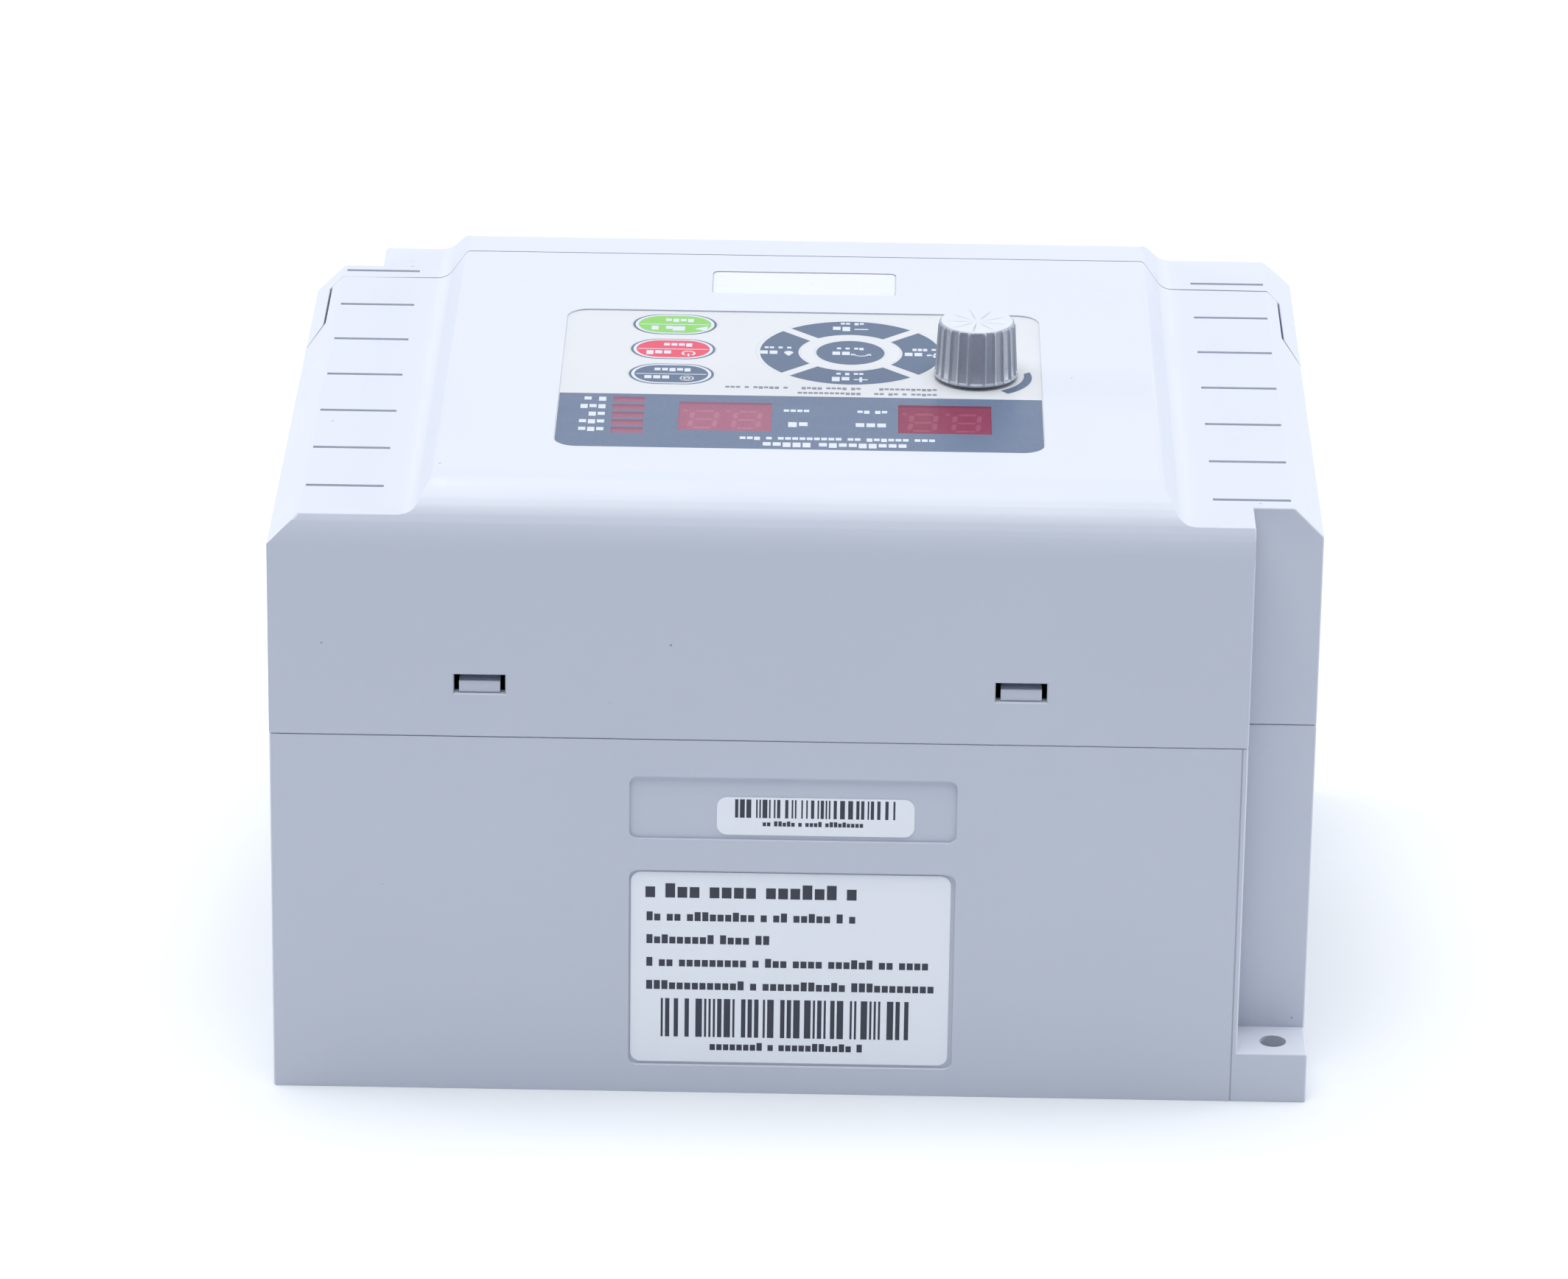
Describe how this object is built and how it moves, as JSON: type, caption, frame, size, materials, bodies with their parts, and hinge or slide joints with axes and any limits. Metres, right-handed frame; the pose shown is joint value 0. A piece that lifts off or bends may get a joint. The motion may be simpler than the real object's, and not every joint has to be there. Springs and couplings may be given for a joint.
{
  "type": "variable frequency drive",
  "caption": "Wall-mounted variable frequency drive: two-part plastic housing, keypad with red displays and a fluted knob, lift-off terminal cover, fan-cooled heat sink.",
  "frame": {"origin": "centre of the rear mounting face, on the wall", "axes": "+Z out of the wall towards the operator, +X to the right when the labelled end is nearest, +Y towards the cable end"},
  "size_m": [0.162, 0.124, 0.1105],
  "materials": {
    "housing_abs": "fine spark-eroded grain, light cool grey",
    "extruded_aluminium": "as extruded, faint die lines",
    "zinc_plated_steel": "bright zinc plated",
    "silicone_pad": "soft matt sheet",
    "epoxy_package": "matt moulded epoxy",
    "circuit_board": "green solder mask",
    "brass_post": "turned",
    "capacitor_sleeve": "shrunk sleeve",
    "relay_case": "moulded case",
    "cement_body": "chalky ceramic cement",
    "copper_winding": "enamelled wire",
    "varistor_coat": "dipped coating",
    "transformer_tape": "polyester tape",
    "terminal_black": "moulded nylon",
    "terminal_green": "moulded nylon",
    "grommet_rubber": "matt rubber",
    "fan_pbt": "moulded",
    "ribbon_pvc": "flat ribbed insulation",
    "overlay_film": "printed polyester film",
    "window_film": "transparent red film",
    "display_face": "dark face with pale segments",
    "key_green": "printed film",
    "key_red": "printed film",
    "key_slate": "printed film",
    "potentiometer_case": "moulded case",
    "turned_steel": "turned shaft",
    "knob_abs": "moulded, fluted",
    "plate_abs": "smooth blank plate",
    "label_paper": "coated label stock"
  },
  "bodies": {
    "chassis": {"base_housing": "housing_abs", "front_cover": "housing_abs", "heat_sink": "extruded_aluminium", "heat_sink_screws": "zinc_plated_steel", "module_screws": "zinc_plated_steel", "power_board_screws": "zinc_plated_steel", "power_terminal_screws": "zinc_plated_steel", "fan_guard": "zinc_plated_steel", "fan_screws": "zinc_plated_steel", "control_board_screws": "zinc_plated_steel", "control_terminal_screws": "zinc_plated_steel", "keypad_board_screws": "zinc_plated_steel", "thermal_pads": "silicone_pad", "power_module": "epoxy_package", "rectifier_bridge": "epoxy_package", "current_sensors": "epoxy_package", "control_processor": "epoxy_package", "tact_switches": "epoxy_package", "ribbon_headers": "epoxy_package", "power_board": "circuit_board", "control_board": "circuit_board", "keypad_board": "circuit_board", "power_board_posts": "brass_post", "control_board_posts": "brass_post", "bus_capacitors": "capacitor_sleeve", "precharge_relay": "relay_case", "output_relays": "relay_case", "precharge_resistor": "cement_body", "line_choke": "copper_winding", "varistors": "varistor_coat", "supply_transformer": "transformer_tape", "power_terminal_block": "terminal_black", "control_terminal_block": "terminal_green", "cable_grommets": "grommet_rubber", "fan_frame": "fan_pbt", "keypad_ribbon": "ribbon_pvc", "panel_overlay": "overlay_film", "display_windows": "window_film", "frequency_display": "display_face", "temperature_display": "display_face", "indicator_lamps": "display_face", "potentiometer": "potentiometer_case", "logo_plate": "plate_abs", "serial_label": "label_paper", "rating_label": "label_paper"},
    "fan_wheel": {"fan_rotor": "fan_pbt"},
    "knob": {"control_knob": "knob_abs", "potentiometer_shaft": "turned_steel"},
    "lift_off_cover": {"terminal_cover": "housing_abs"},
    "left_latch": {"latch_left": "housing_abs"},
    "right_latch": {"latch_right": "housing_abs"},
    "run_stop_button": {"run_stop_key": "key_green"},
    "on_off_button": {"on_off_key": "key_red"},
    "cool_button": {"cool_key": "key_slate"},
    "decrease_button": {"decrease_key": "key_slate"},
    "increase_button": {"increase_key": "key_slate"},
    "clean_button": {"clean_key": "key_slate"},
    "exhaust_button": {"exhaust_key": "key_slate"},
    "swing_button": {"swing_key": "key_slate"}
  },
  "joints": [
    {"name": "fan_spin", "type": "hinge", "parent": "chassis", "child": "fan_wheel", "pos_m": [0, 0.0532, 0.023], "axis": [0, 1, 0], "continuous": true},
    {"name": "knob_turn", "type": "hinge", "parent": "chassis", "child": "knob", "pos_m": [0.0276, -0.009, 0.1014], "axis": [0, 0, 1], "range_deg": [-150, 150]},
    {"name": "cover_lift", "type": "slide", "parent": "chassis", "child": "lift_off_cover", "axis": [0, 0, 1], "range_m": [0, 0.06]},
    {"name": "left_latch_press", "type": "hinge", "parent": "chassis", "child": "left_latch", "pos_m": [-0.0485, -0.0574, 0.052], "axis": [-1, 0, 0], "range_deg": [0, 6], "stiffness_Nm_per_rad": 0.6, "springref_deg": -1.15},
    {"name": "right_latch_press", "type": "hinge", "parent": "chassis", "child": "right_latch", "pos_m": [0.0348, -0.0574, 0.052], "axis": [-1, 0, 0], "range_deg": [0, 6], "stiffness_Nm_per_rad": 0.6, "springref_deg": -1.15},
    {"name": "run_stop_press", "type": "slide", "parent": "chassis", "child": "run_stop_button", "axis": [0, 0, -1], "range_m": [0, 0.0004], "stiffness_N_per_m": 1500, "springref_m": -0.0003},
    {"name": "on_off_press", "type": "slide", "parent": "chassis", "child": "on_off_button", "axis": [0, 0, -1], "range_m": [0, 0.0004], "stiffness_N_per_m": 1500, "springref_m": -0.0003},
    {"name": "cool_press", "type": "slide", "parent": "chassis", "child": "cool_button", "axis": [0, 0, -1], "range_m": [0, 0.0004], "stiffness_N_per_m": 1500, "springref_m": -0.0003},
    {"name": "decrease_press", "type": "slide", "parent": "chassis", "child": "decrease_button", "axis": [0, 0, -1], "range_m": [0, 0.0004], "stiffness_N_per_m": 1500, "springref_m": -0.0003},
    {"name": "increase_press", "type": "slide", "parent": "chassis", "child": "increase_button", "axis": [0, 0, -1], "range_m": [0, 0.0004], "stiffness_N_per_m": 1500, "springref_m": -0.0003},
    {"name": "clean_press", "type": "slide", "parent": "chassis", "child": "clean_button", "axis": [0, 0, -1], "range_m": [0, 0.0004], "stiffness_N_per_m": 1500, "springref_m": -0.0003},
    {"name": "exhaust_press", "type": "slide", "parent": "chassis", "child": "exhaust_button", "axis": [0, 0, -1], "range_m": [0, 0.0004], "stiffness_N_per_m": 1500, "springref_m": -0.0003},
    {"name": "swing_press", "type": "slide", "parent": "chassis", "child": "swing_button", "axis": [0, 0, -1], "range_m": [0, 0.0004], "stiffness_N_per_m": 1500, "springref_m": -0.0003}
  ]
}
